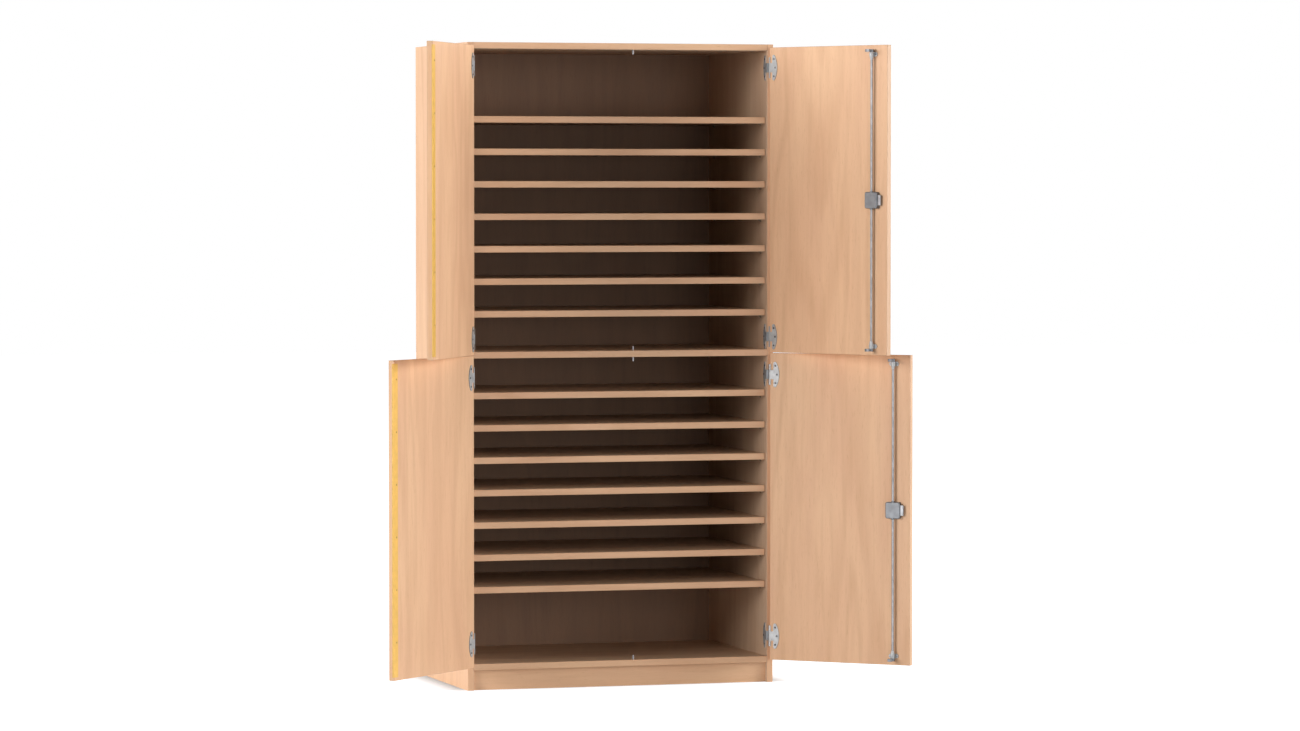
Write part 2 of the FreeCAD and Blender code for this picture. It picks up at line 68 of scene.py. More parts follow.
class CabinetFinishes(bpy.types.PropertyGroup):
    """Colours of the boards and the metal"""

    beech: FloatVectorProperty(
        name="Beech", description="Light tone of the beech decor",
        subtype="COLOR", size=3, min=0, max=1, default=(0.842, 0.526, 0.314))
    beech_dark: FloatVectorProperty(
        name="Beech grain", description="Dark tone of the grain and flecks",
        subtype="COLOR", size=3, min=0, max=1, default=(0.61, 0.325, 0.172))
    beech_rosy: FloatVectorProperty(
        name="Beech heart", description="Rosier tone that the decor drifts to",
        subtype="COLOR", size=3, min=0, max=1, default=(0.74, 0.42, 0.255))
    # Edge-band tone of the door edges, darkened with painted shade
    door_edge_band_and_shade: FloatVectorProperty(
        name="Door edge", description="Light tone of the edge bands around the doors",
        subtype="COLOR", size=3, min=0, max=1, default=(0.732, 0.474, 0.292))
    # Inner face of the back board: partly the board's own brown, partly painted shade, grain included; the outer
    # face takes back_outside
    back: FloatVectorProperty(
        name="Back board", description="Inner face of the thin back board",
        subtype="COLOR", size=3, min=0, max=1, default=(0.296, 0.164, 0.092))
    back_grain: FloatVectorProperty(
        name="Back grain", description="Grain of the back board",
        subtype="COLOR", size=3, min=0, max=1, default=(0.204, 0.117, 0.070))
    back_outside: FloatVectorProperty(
        name="Back outside", description="Outer face of the back board",
        subtype="COLOR", size=3, min=0, max=1, default=(0.47, 0.305, 0.195))
    # Painted shade: a darker, duller copy of the beech for board faces inside the cabinet and under the cross
    # boards
    inside: FloatVectorProperty(
        name="Inside faces", description="Duller light tone of the board faces inside",
        subtype="COLOR", size=3, min=0, max=1, default=(0.650, 0.468, 0.318))
    nickel: FloatVectorProperty(
        name="Nickel", description="Plating of the door leaves, rod guides and grips",
        subtype="COLOR", size=3, min=0, max=1, default=(0.45, 0.455, 0.46))
    # Painted shade: a darker copy of the nickel for the hinge pins and the leaves on the side panels
    nickel_shaded: FloatVectorProperty(
        name="Dull nickel", description="Plating of the hinge pins and the leaves on the side panels",
        subtype="COLOR", size=3, min=0, max=1, default=(0.295, 0.30, 0.31))
    zinc: FloatVectorProperty(
        name="Lock zinc", description="Cast zinc of the lock cases and rod hooks",
        subtype="COLOR", size=3, min=0, max=1, default=(0.175, 0.18, 0.19))
    steel: FloatVectorProperty(
        name="Rod steel", description="Plating of rods, bolts, striker pins and guide screws",
        subtype="COLOR", size=3, min=0, max=1, default=(0.27, 0.27, 0.28))
    strip: FloatVectorProperty(
        name="Strip yellow", description="Satin yellow of the stop strips",
        subtype="COLOR", size=3, min=0, max=1, default=(0.84, 0.50, 0.11))
    strip_screw: FloatVectorProperty(
        name="Strip screw", description="Dull brass of the strip screws",
        subtype="COLOR", size=3, min=0, max=1, default=(0.58, 0.34, 0.075))
    leaf_screw: FloatVectorProperty(
        name="Leaf screw", description="Dull steel of the hinge screws",
        subtype="COLOR", size=3, min=0, max=1, default=(0.13, 0.13, 0.135))
    peg: FloatVectorProperty(
        name="Peg plastic", description="Moulded shelf pegs",
        subtype="COLOR", size=3, min=0, max=1, default=(0.30, 0.215, 0.145))


class CabinetScrews(bpy.types.PropertyGroup):
    """Sizes and places of the screws"""

    head_radius: FloatProperty(
        name="Head radius", description="Radius of a raised screw head",
        unit="LENGTH", default=0.0031)
    head_height: FloatProperty(
        name="Head height", description="Rise of a screw head over its plate",
        unit="LENGTH", default=0.0011)
    head_sides: IntProperty(
        name="Head sides", description="Flats around a screw head", default=16, min=3)
    leaf_pair_out: FloatProperty(
        name="Leaf pair", description="Board edge to the outer two screws of a leaf",
        unit="LENGTH", default=0.0185)
    leaf_pair_rise: FloatProperty(
        name="Leaf pair rise", description="Middle of a leaf to its outer two screws",
        unit="LENGTH", default=0.026)
    leaf_middle_out: FloatProperty(
        name="Leaf middle", description="Board edge to the middle screw of a leaf",
        unit="LENGTH", default=0.0235)
    strip_count: IntProperty(
        name="Strip screws", description="Screws along each stop strip", default=6, min=2)
    strip_margin: FloatProperty(
        name="Strip margin", description="Upper strip end to its first screw",
        unit="LENGTH", default=0.045)
    strip_pitch: FloatProperty(
        name="Strip pitch", description="From one strip screw to the next",
        unit="LENGTH", default=0.1515)
    guide_margin: FloatProperty(
        name="Guide margin", description="Rod end to the screws of the guide there",
        unit="LENGTH", default=0.015)
    guide_reach: FloatProperty(
        name="Guide reach", description="Rod axis to a guide screw on either side",
        unit="LENGTH", default=0.0110)
    guide_foot: FloatProperty(
        name="Guide foot", description="Thickness of a guide's foot under its screws",
        unit="LENGTH", default=0.003)


class CabinetStage(bpy.types.PropertyGroup):
    """Floor, light and camera"""

    floor_reach: FloatProperty(
        name="Floor", description="Half the width of the floor",
        unit="LENGTH", default=30.0)
    floor_colour: FloatVectorProperty(
        name="Floor colour", description="Tone of the floor where it doesn't shine white",
        subtype="COLOR", size=3, min=0, max=1, default=(0.66, 0.76, 0.86))
    shade_reach: FloatProperty(
        name="Shade", description="How far the shade reaches out around the carcass",
        unit="LENGTH", default=0.10)
    shade_setback: FloatProperty(
        name="Shade setback", description="Front of the carcass to the front of the full shade",
        unit="LENGTH", default=0.06)
    dome: FloatProperty(
        name="Dome", description="Strength of the even white light", default=0.05)
    lamp_size: FloatProperty(
        name="Lamp size", description="Width of each soft light",
        unit="LENGTH", default=7.0)
    lamp_aim: FloatVectorProperty(
        name="Lamp aim", description="Point that all lamps face",
        subtype="TRANSLATION", unit="LENGTH", size=3, default=(0.0, -0.2, 0.95))
    left_place: FloatVectorProperty(
        name="Left", description="Place of the soft light on the left",
        subtype="TRANSLATION", unit="LENGTH", size=3, default=(-14.0, -5.45, 3.84))
    left_power: FloatProperty(
        name="Left power", description="Power of the soft light on the left",
        unit="POWER", default=1392.0)
    left_back_place: FloatVectorProperty(
        name="Left back", description="Place of the light behind the left one",
        subtype="TRANSLATION", unit="LENGTH", size=3, default=(-14.0, 1.9, 4.54))
    left_back_power: FloatProperty(
        name="Left back power", description="Power of the light behind the left one",
        unit="POWER", default=840.0)
    right_place: FloatVectorProperty(
        name="Right", description="Place of the soft light on the right",
        subtype="TRANSLATION", unit="LENGTH", size=3, default=(14.0, -5.45, 3.84))
    right_power: FloatProperty(
        name="Right power", description="Power of the soft light on the right",
        unit="POWER", default=1520.0)
    right_back_place: FloatVectorProperty(
        name="Right back", description="Place of the light behind the right one",
        subtype="TRANSLATION", unit="LENGTH", size=3, default=(14.0, 1.03, 4.54))
    right_back_power: FloatProperty(
        name="Right back power", description="Power of the light behind the right one",
        unit="POWER", default=560.0)
    right_front_place: FloatVectorProperty(
        name="Right front", description="Place of the light before the right one",
        subtype="TRANSLATION", unit="LENGTH", size=3, default=(10.5, -12.5, 2.2))
    right_front_power: FloatProperty(
        name="Right front power", description="Power of the light before the right one",
        unit="POWER", default=350.0)
    front_place: FloatVectorProperty(
        name="Front", description="Place of the low light in front",
        subtype="TRANSLATION", unit="LENGTH", size=3, default=(1.4, -16.2, 1.3))
    front_power: FloatProperty(
        name="Front power", description="Power of the low light in front",
        unit="POWER", default=450.0)
    camera_place: FloatVectorProperty(
        name="Camera", description="Camera position",
        subtype="TRANSLATION", unit="LENGTH", size=3, default=(-4.3588, -14.6169, 1.4912))
    camera_yaw: FloatProperty(
        name="Yaw", description="Turn of the view to the right",
        subtype="ANGLE", default=math.radians(16.949))
    camera_pitch: FloatProperty(
        name="Pitch", description="Downward tilt of the view",
        subtype="ANGLE", default=math.radians(2.0055))
    lens: FloatProperty(
        name="Lens", description="Focal length of the camera",
        unit="CAMERA", default=141.73)
    sensor: FloatProperty(
        name="Sensor", description="Width of the camera's sensor",
        unit="CAMERA", default=36.0)
    sight: FloatProperty(
        name="Sight", description="How far the camera sees",
        unit="LENGTH", default=200.0)


class Figure(NamedTuple):
    """A noise pattern: waves per metre along and across the grain, and how they break up

    Where the pattern sets a tone or a roughness, it does so with its values from low to high.
    """

    along: float
    across: float
    detail: float = 3.0
    roughness: float = 0.55
    distortion: float = 0.0
    low: float = 0.3
    high: float = 0.7


class Veil(NamedTuple):
    """Values of a pattern at which a tone starts to show and shows in full, and its share there"""

    start: float
    full: float
    share: float


class Relief(NamedTuple):
    """Strength of a bump, and its depth in metres"""

    strength: float
    depth: float


class Tones(NamedTuple):
    """Light tone, grain tone and heart tone of a decor"""

    light: tuple
    dark: tuple
    rosy: tuple


class Plating(NamedTuple):
    """A metal finish: its roughness range, unevenness of tone, metal share, and a scale on the tone of a plate's
    rims that paints shade there below 1 and a highlight above 1
    """

    smooth: float
    rough: float
    mottle: float = 0.12
    metallic: float = 1.0
    rim_painted_light: float = 1.0


# Patterns of the beech decor
TONE_DRIFT = Figure(along=1.5, across=8.0, distortion=0.6)
FLAME_SWELL = Figure(along=0.8, across=5.5, detail=1.5, roughness=0.4, distortion=0.5)
FLAME_TURNS = 38.0
STREAKS = Figure(along=4.5, across=60.0, detail=4.0, roughness=0.6, distortion=0.3)
FIBRES = Figure(along=9.0, across=420.0, roughness=0.6, low=0.2, high=0.8)
FLECKS = Figure(along=40.0, across=420.0, detail=1.0)

# How strongly each of them shows
DRIFT_VEIL = Veil(start=0.36, full=0.66, share=0.55)
FLAME_VEIL = Veil(start=-0.2, full=1.0, share=0.24)
STREAK_VEIL = Veil(start=0.46, full=0.74, share=0.28)
FIBRE_VEIL = Veil(start=0.50, full=0.80, share=0.14)
FLECK_VEIL = Veil(start=0.62, full=0.76, share=0.40)

# Gloss and relief of the decor foil
FOIL_SMOOTH, FOIL_ROUGH, FOIL_SPECULAR = 0.44, 0.58, 0.3
FIBRE_RELIEF = Relief(strength=0.06, depth=0.0004)

# Patterns and relief of metal
BRUSH_MARKS = Figure(along=25.0, across=900.0, low=0.25, high=0.75)
METAL_CLOUD = Figure(along=60.0, across=60.0)
BRUSH_RELIEF = Relief(strength=0.10, depth=0.0002)

# Metal finishes; the last value scales the tone on a plate's rims: below 1 it paints shade there, above 1 a
# highlight
DOOR_LEAF = Plating(smooth=0.42, rough=0.56, metallic=0.35, rim_painted_light=0.5)
INNER_LEAF = Plating(smooth=0.40, rough=0.54, metallic=0.35, rim_painted_light=1.75)
STOP_STRIP = Plating(smooth=0.40, rough=0.55, mottle=0.04, metallic=0.2, rim_painted_light=0.72)
LOCK_CAST = Plating(smooth=0.46, rough=0.60, mottle=0.10)
GRIP_SATIN = Plating(smooth=0.34, rough=0.46)
ROD_PLATE = Plating(smooth=0.40, rough=0.52)
LEAF_SCREW = Plating(smooth=0.40, rough=0.55)
STRIP_SCREW = Plating(smooth=0.40, rough=0.55, mottle=0.10, metallic=0.0)
GUIDE_SCREW = Plating(smooth=0.30, rough=0.45)

# Moulded plastic
MOULD_SPARK = Figure(along=900.0, across=900.0, detail=2.0)
MOULD_SMOOTH, MOULD_ROUGH, MOULD_SHADE = 0.45, 0.6, 0.9
SPARK_RELIEF = Relief(strength=0.15, depth=0.0002)

# Share of a normal along an axis at which a face starts to count as turned that way, and counts in full
AXIS_TURN = (0.4, 0.6)

# The same on a side board, for the share times the distance from the middle in metres
INWARD_TURN = (0.1, 0.3)

# The same for the broad faces of a plate
FLAT_TURN = (0.55, 0.95)

# Shares of a screw head's height and radius: its rim, the steps of its crown and the driver recess
HEAD_RIM = 0.45
HEAD_CROWN = ((0.30, 0.40), (0.30, 0.15))
HEAD_RECESS = 0.8


class ShaderSheet:
    """A new material's node tree with short calls to add and wire nodes"""

    def __init__(self, name):
        self.material = bpy.data.materials.new(name)
        self.material.use_nodes = True
        self.nodes = self.material.node_tree.nodes
        self.links = self.material.node_tree.links
        self.surface = self.nodes["Principled BSDF"]

    def add(self, kind, inputs=None, **settings):
        """A new node with its settings and the values of its inputs"""
        node = self.nodes.new(kind)
        for key, value in settings.items():
            setattr(node, key, value)
        for key, value in (inputs or {}).items():
            node.inputs[key].default_value = value
        return node

    def wire(self, source, target):
        """Join an output to an input"""
        self.links.new(source, target)

    def noise(self, figure, axis=Z_AXIS):
        """A noise pattern on Object coordinates, with its length along one axis"""
        scale = tuple(figure.along if i == axis else figure.across for i in range(3))
        place = self.add("ShaderNodeTexCoord")
        mapping = self.add("ShaderNodeMapping", {"Scale": scale})
        break_up = {"Detail": figure.detail, "Roughness": figure.roughness, "Distortion": figure.distortion}
        noise = self.add("ShaderNodeTexNoise", {"Scale": 1.0, **break_up})
        self.wire(place.outputs["Object"], mapping.inputs["Vector"])
        self.wire(mapping.outputs["Vector"], noise.inputs["Vector"])
        return noise.outputs["Fac"]

    def ranged(self, value, low, high, to_low, to_high):
        """A value taken from one range to another and held inside it"""
        limits = {"From Min": low, "From Max": high, "To Min": to_low, "To Max": to_high}
        node = self.add("ShaderNodeMapRange", limits)
        self.wire(value, node.inputs["Value"])
        return node.outputs["Result"]

    def mixed(self, factor, first, second):
        """A blend of two colours, each a plain colour or an output"""
        node = self.add("ShaderNodeMix", data_type="RGBA")
        self.wire(factor, node.inputs["Factor"])
        for socket, colour in ((node.inputs["A"], first), (node.inputs["B"], second)):
            if isinstance(colour, bpy.types.NodeSocket):
                self.wire(colour, socket)
            else:
                socket.default_value = (*colour, 1.0)
        return node.outputs["Result"]

    def veiled(self, pattern, veil, under, over):
        """A tone laid over another where a pattern is strong"""
        return self.mixed(self.ranged(pattern, veil.start, veil.full, 0.0, veil.share), under, over)

    def waved(self, value, turns):
        """Contour lines of a slow pattern"""
        stretch = self.add("ShaderNodeMath", {1: turns}, operation="MULTIPLY")
        wave = self.add("ShaderNodeMath", operation="SINE")
        self.wire(value, stretch.inputs[0])
        self.wire(stretch.outputs[0], wave.inputs[0])
        return wave.outputs[0]

    def normal_along(self, axis):
        """How far a surface faces along X, Y or Z"""
        place = self.add("ShaderNodeTexCoord")
        split = self.add("ShaderNodeSeparateXYZ")
        self.wire(place.outputs["Normal"], split.inputs["Vector"])
        return split.outputs[axis]

    def behind_edge(self):
        """0 on what faces the front, 1 on the rest of a board"""
        start, full = AXIS_TURN
        return self.ranged(self.normal_along("Y"), -full, -start, 0.0, 1.0)

    def turned_down(self):
        """1 on the underside of a board, 0 on the rest of it"""
        start, full = AXIS_TURN
        return self.ranged(self.normal_along("Z"), -full, -start, 1.0, 0.0)

    def turned_inward(self):
        """1 where a side board faces the middle of the cabinet, 0 on the rest of it"""
        start, full = INWARD_TURN
        place = self.add("ShaderNodeTexCoord")
        product = self.add("ShaderNodeVectorMath", operation="MULTIPLY")
        split = self.add("ShaderNodeSeparateXYZ")
        self.wire(place.outputs["Normal"], product.inputs[0])
        self.wire(place.outputs["Object"], product.inputs[1])
        self.wire(product.outputs["Vector"], split.inputs["Vector"])
        return self.ranged(split.outputs["X"], -full, -start, 1.0, 0.0)

    def off_broad(self, broad):
        """0 on a plate's broad faces, 1 where its surface turns away from them"""
        start, full = FLAT_TURN
        place = self.add("ShaderNodeTexCoord")
        turned = self.add("ShaderNodeVectorMath", {1: broad}, operation="DOT_PRODUCT")
        flat = self.add("ShaderNodeMath", operation="ABSOLUTE")
        self.wire(place.outputs["Normal"], turned.inputs[0])
        self.wire(turned.outputs["Value"], flat.inputs[0])
        return self.ranged(flat.outputs[0], start, full, 1.0, 0.0)

    def tinted(self, where, share, colour):
        """A colour multiplied by a share, as far as the place says"""
        tint = self.mixed(where, WHITE, share)
        node = self.add("ShaderNodeVectorMath", operation="MULTIPLY")
        self.wire(colour, node.inputs[0])
        self.wire(tint, node.inputs[1])
        return node.outputs["Vector"]

    def painted_rim_light(self, colour, broad, rim_painted_light):
        """A colour scaled where a plate's surface turns away from its broad faces, which paints shade on its rims
        when the scale is below 1 and a highlight when above
        """
        node = self.add("ShaderNodeVectorMath", operation="SCALE")
        self.wire(colour, node.inputs[0])
        self.wire(self.ranged(self.off_broad(broad), 0.0, 1.0, 1.0, rim_painted_light), node.inputs["Scale"])
        return node.outputs["Vector"]

    def distance_from(self, low, high):
        """Distance of a place from the box between two corners"""
        place = self.add("ShaderNodeTexCoord")
        centred = self.add("ShaderNodeVectorMath", {1: (low + high) / 2}, operation="SUBTRACT")
        folded = self.add("ShaderNodeVectorMath", operation="ABSOLUTE")
        beyond = self.add("ShaderNodeVectorMath", {1: (high - low) / 2}, operation="SUBTRACT")
        outside = self.add("ShaderNodeVectorMath", {1: (0.0, 0.0, 0.0)}, operation="MAXIMUM")
        length = self.add("ShaderNodeVectorMath", operation="LENGTH")
        self.wire(place.outputs["Object"], centred.inputs[0])
        for first, second in ((centred, folded), (folded, beyond), (beyond, outside), (outside, length)):
            self.wire(first.outputs["Vector"], second.inputs[0])
        return length.outputs["Value"]

    def coloured(self, colour):
        """Use an output as the surface's colour"""
        self.wire(colour, self.surface.inputs["Base Color"])

    def roughened(self, pattern, figure, smooth, rough):
        """Let a pattern set the surface's roughness"""
        level = self.ranged(pattern, figure.low, figure.high, smooth, rough)
        self.wire(level, self.surface.inputs["Roughness"])

    def bumped(self, height, relief):
        """Let a pattern raise the surface"""
        node = self.add("ShaderNodeBump", {"Strength": relief.strength, "Distance": relief.depth})
        self.wire(height, node.inputs["Height"])
        self.wire(node.outputs["Normal"], self.surface.inputs["Normal"])


def beech_decor(name, axis, tones, other, where):
    """Pale beech foil: tone drift, flame figure, streaks and short flecks along the grain

    The other colour stands for the light tone on the faces that the last argument picks; it is painted shade on
    inner faces and door edges, and the outer face's own tone on the back board.
    """
    sheet = ShaderSheet(name)
    fibres = sheet.noise(FIBRES, axis)
    flames = sheet.waved(sheet.noise(FLAME_SWELL, axis), FLAME_TURNS)
    tone = sheet.veiled(sheet.noise(TONE_DRIFT, axis), DRIFT_VEIL, tones.light, tones.rosy)
    tone = sheet.veiled(flames, FLAME_VEIL, tone, tones.dark)
    tone = sheet.veiled(sheet.noise(STREAKS, axis), STREAK_VEIL, tone, tones.dark)
    tone = sheet.veiled(fibres, FIBRE_VEIL, tone, tones.dark)
    tone = sheet.veiled(sheet.noise(FLECKS, axis), FLECK_VEIL, tone, tones.dark)
    share = tuple(picked / light for picked, light in zip(other, tones.light))
    sheet.coloured(sheet.tinted(where(sheet), share, tone))
    sheet.roughened(fibres, FIBRES, FOIL_SMOOTH, FOIL_ROUGH)
    sheet.surface.inputs["Specular IOR Level"].default_value = FOIL_SPECULAR
    sheet.bumped(fibres, FIBRE_RELIEF)
    return sheet.material


def plated_metal(name, colour, plating, broad=None):
    """Metal with a brushed or cast surface: upright streaks and a slow mottling, twice as far down as up

    A broad direction, where given, is the way a plate faces, and its rims get painted shade, or a painted
    highlight where the finish scales them up.
    """
    sheet = ShaderSheet(name)
    streaks = sheet.noise(BRUSH_MARKS)
    cloud = sheet.ranged(sheet.noise(METAL_CLOUD), METAL_CLOUD.low, METAL_CLOUD.high, 0.0, 1.0)
    dull = tuple(c * (1.0 - 2.0 * plating.mottle) for c in colour)
    bright = tuple(min(1.0, c * (1.0 + plating.mottle)) for c in colour)
    tone = sheet.mixed(cloud, dull, bright)
    if broad:
        # Painted shade on the plate's rims, or a painted highlight where the finish scales them up
        tone = sheet.painted_rim_light(tone, broad, plating.rim_painted_light)
    sheet.coloured(tone)
    sheet.roughened(streaks, BRUSH_MARKS, plating.smooth, plating.rough)
    sheet.surface.inputs["Metallic"].default_value = plating.metallic
    sheet.bumped(streaks, BRUSH_RELIEF)
    return sheet.material


def moulded_plastic(name, colour):
    """Matt moulded plastic with a fine spark texture"""
    sheet = ShaderSheet(name)
    spark = sheet.noise(MOULD_SPARK)
    shade = tuple(c * MOULD_SHADE for c in colour)
    sheet.coloured(sheet.mixed(spark, shade, colour))
    sheet.roughened(spark, MOULD_SPARK, MOULD_SMOOTH, MOULD_ROUGH)
    sheet.bumped(spark, SPARK_RELIEF)
    return sheet.material


def nodes_in(slot):
    """Names of the CAD nodes with a material slot"""
    return [s["node"] for s in frame["record"]["subparts"] if s["material_slot"] == slot]


def dress(nodes, material):
    """Give CAD nodes a material"""
    for node in nodes:
        mesh = frame["nodes"][node].data
        mesh.materials.clear()
        mesh.materials.append(material)


def joint_named(name):
    """A joint of the frame"""
    return next(joint for joint in frame["joints"] if joint["name"] == name)


def door_swing(door):
    """The turn that takes a closed door's fittings to where the door stands open"""
    hinge = joint_named(f"{door}_hinge")
    pivot = Matrix.Translation(hinge["pos_m"])
    turn = Matrix.Rotation(math.radians(-hinge["range_deg"][0]), 4, Vector(hinge["axis"]))
    return pivot @ turn @ pivot.inverted()


def broad_side(door):
    """The way the inner face of an open door points"""
    return tuple(door_swing(door).to_3x3() @ INTO_CABINET)


def closed_box(node, door):
    """Lowest and highest corner of a door, or of a fitting on it, as when that door is closed"""
    back = door_swing(door).inverted()
    points = [back @ vertex.co for vertex in frame["nodes"][node].data.vertices]
    low = Vector([min(point[i] for point in points) for i in range(3)])
    high = Vector([max(point[i] for point in points) for i in range(3)])
    return low, high


def facing(place, normal):
    """A placement whose Z axis points along the normal"""
    return Matrix.Translation(place) @ normal.to_track_quat("Z", "Y").to_matrix().to_4x4()


def piece(name, build, material, body):
    """A new mesh object at the origin that rides on a body"""
    shape = bmesh.new()
    build(shape)
    mesh = bpy.data.meshes.new(name)
    shape.to_mesh(mesh)
    shape.free()
    mesh.materials.append(material)
    made = bpy.data.objects.new(name, mesh)
    bpy.context.scene.collection.objects.link(made)
    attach(made, body)


def add_screw(shape, place, sizes):
    """A raised screw head with a driver recess, standing on the XY plane of the given place"""
    radius, height = sizes.head_radius, sizes.head_height
    ring = bmesh.ops.create_circle(shape, cap_ends=True, segments=sizes.head_sides, radius=radius)
    made = list(ring["verts"])
    cap = made[0].link_faces[0]
    rise = bmesh.ops.extrude_face_region(shape, geom=[cap])
    top = [v for v in rise["geom"] if isinstance(v, bmesh.types.BMVert)]
    made += top
    bmesh.ops.translate(shape, verts=top, vec=(0, 0, height * HEAD_RIM))
    crown = next(f for f in rise["geom"] if isinstance(f, bmesh.types.BMFace))
    for inward, lift in HEAD_CROWN:
        before = set(shape.verts)
        bmesh.ops.inset_region(shape, faces=[crown], thickness=radius * inward, depth=height * lift)
        made += [v for v in shape.verts if v not in before]
    hollow = bmesh.ops.extrude_face_region(shape, geom=[crown])
    floor = [v for v in hollow["geom"] if isinstance(v, bmesh.types.BMVert)]
    bmesh.ops.delete(shape, geom=[crown], context="FACES_ONLY")
    bmesh.ops.translate(shape, verts=floor, vec=(0, 0, -height * HEAD_RECESS))
    made += floor
    unique = list({v for v in made if v.is_valid})
    bmesh.ops.transform(shape, matrix=place, verts=unique)


def screw_on(name, places, metal, body, sizes):
    """One piece with a screw at each of the places"""
    piece(name, lambda shape: [add_screw(shape, p, sizes) for p in places], metal, body)


class CABINET_OT_board_finishes(bpy.types.Operator):
    """Give every board its beech decor with the grain along its length"""

    bl_idname = "cabinet.board_finishes"
    bl_label = "Board finishes"

    def execute(self, context):
        colours = context.scene.cabinet_finishes
        beech = Tones(tuple(colours.beech), tuple(colours.beech_dark), tuple(colours.beech_rosy))
        brown = Tones(tuple(colours.back), tuple(colours.back_grain), tuple(colours.back))
        # The inside tone is painted shade; the door edge tone is the edge band with painted shade
        inside, outside, edge = tuple(colours.inside), tuple(colours.back_outside), tuple(colours.door_edge_band_and_shade)
        for door in nodes_in("door_board"):
            # The door edges get the edge-band tone darkened with painted shade
            banded_and_shaded = partial(ShaderSheet.off_broad, broad=broad_side(door))
            dress([door], beech_decor(f"beech_{door}", Z_AXIS, beech, edge, banded_and_shaded))
        # Painted shade on the faces of the side boards that turn inward
        sides = beech_decor("beech_sides", Z_AXIS, beech, inside, ShaderSheet.turned_inward)
        dress(nodes_in("side_board"), sides)
        # Painted shade on the undersides of the cross boards
        cross = beech_decor("beech_cross", X_AXIS, beech, inside, ShaderSheet.turned_down)
        dress(nodes_in("cross_board"), cross)
        # Painted shade on the shelves and bottom panel, all but their front edges
        shelves = beech_decor("beech_shelves", X_AXIS, beech, inside, ShaderSheet.behind_edge)
        dress(nodes_in("shelf_board") + ["bottom_panel"], shelves)
        # Painted shade in the brown of the back board's inner face; its other faces take the lighter outer tone
        back = beech_decor("beech_back", Z_AXIS, brown, outside, ShaderSheet.behind_edge)
        dress(nodes_in("back_board"), back)
        return {"FINISHED"}


class CABINET_OT_metal_finishes(bpy.types.Operator):
    """Give hinges, locks, rods, strips and pegs their finish"""

    bl_idname = "cabinet.metal_finishes"
    bl_label = "Metal finishes"

    def execute(self, context):
        colours = context.scene.cabinet_finishes
        nickel, nickel_shaded = tuple(colours.nickel), tuple(colours.nickel_shaded)
        hinges = nodes_in("hinge_metal")
        # Pins and side-panel leaves: nickel darkened as painted shade, with a painted highlight on their rims
        dress(hinges, plated_metal("hinge_nickel", nickel_shaded, INNER_LEAF, tuple(SIDEWAYS)))
        cast = plated_metal("lock_cast_zinc", tuple(colours.zinc), LOCK_CAST)
        plate = plated_metal("rod_zinc_plate", tuple(colours.steel), ROD_PLATE)
        guide = plated_metal("guide_nickel", nickel, DOOR_LEAF)
        dress(nodes_in("lock_zinc"), cast)
        dress(nodes_in("rod_steel"), plate)
        for level in LEVELS:
            for hand in HANDS:
                door = f"{level}_{hand}_door"
                leaves = [node for node in hinges if node.startswith(f"{door}_leaf")]
                # The door leaves get painted shade on their rims
                leaf = plated_metal(f"{level}_{hand}_leaf_nickel", nickel, DOOR_LEAF, broad_side(door))
                dress(leaves, leaf)
            strip_side = broad_side(f"{level}_left_door")
            # The stop strip gets painted shade on its rims
            yellow = plated_metal(f"{level}_strip_yellow", tuple(colours.strip), STOP_STRIP, strip_side)
            dress([f"{level}_stop_strip"], yellow)
            dress([f"{level}_lock_bolt"], plate)
            dress([f"{level}_rod_guides"], guide)
            dress([f"{level}_rod_hooks"], cast)
        dress(nodes_in("grip_metal"), plated_metal("grip_satin_nickel", nickel, GRIP_SATIN))
        dress(nodes_in("peg_plastic"), moulded_plastic("peg_plastic", tuple(colours.peg)))
        return {"FINISHED"}


class CABINET_OT_hinge_screws(bpy.types.Operator):
    """Screw each hinge leaf to its door and its side panel"""

    bl_idname = "cabinet.hinge_screws"
    bl_label = "Hinge screws"

    def execute(self, context):
        sizes = context.scene.cabinet_screws
        colour = tuple(context.scene.cabinet_finishes.leaf_screw)
        metal = plated_metal("leaf_screw_steel", colour, LEAF_SCREW)
        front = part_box("left_side_panel")[0].y
        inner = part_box("right_side_panel")[0].x
        carcass_places = []
        for level in LEVELS:
            for hand in HANDS:
                door = f"{level}_{hand}_door"
                sign = -1 if hand == "left" else 1
                swing = door_swing(door)
                door_low, door_high = closed_box(door, door)
                edge = max(-door_low.x, door_high.x)
                places = []
                for end in ENDS:
                    low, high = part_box(f"{level}_{hand}_carcass_leaf_{end}")
                    middle = (low.z + high.z) / 2
                    leaf_face = closed_box(f"{door}_leaf_{end}", door)[1].y
                    plate = leaf_face - door_high.y
                    for out, up in self.spots(sizes):
                        on_door = Vector((sign * (edge - out), leaf_face, middle + up))
                        places.append(swing @ facing(on_door, INTO_CABINET))
                        on_side = Vector((sign * (inner - plate), front + out, middle + up))
                        carcass_places.append(facing(on_side, -sign * SIDEWAYS))
                screw_on(f"{level}_{hand}_leaf_screws", places, metal, door, sizes)
        screw_on("carcass_leaf_screws", carcass_places, metal, "carcass", sizes)
        return {"FINISHED"}

    @staticmethod
    def spots(sizes):
        """Distance from the board's edge and height from the leaf's middle, for each screw of a leaf"""
        out, rise = sizes.leaf_pair_out, sizes.leaf_pair_rise
        return (out, rise), (out, -rise), (sizes.leaf_middle_out, 0.0)


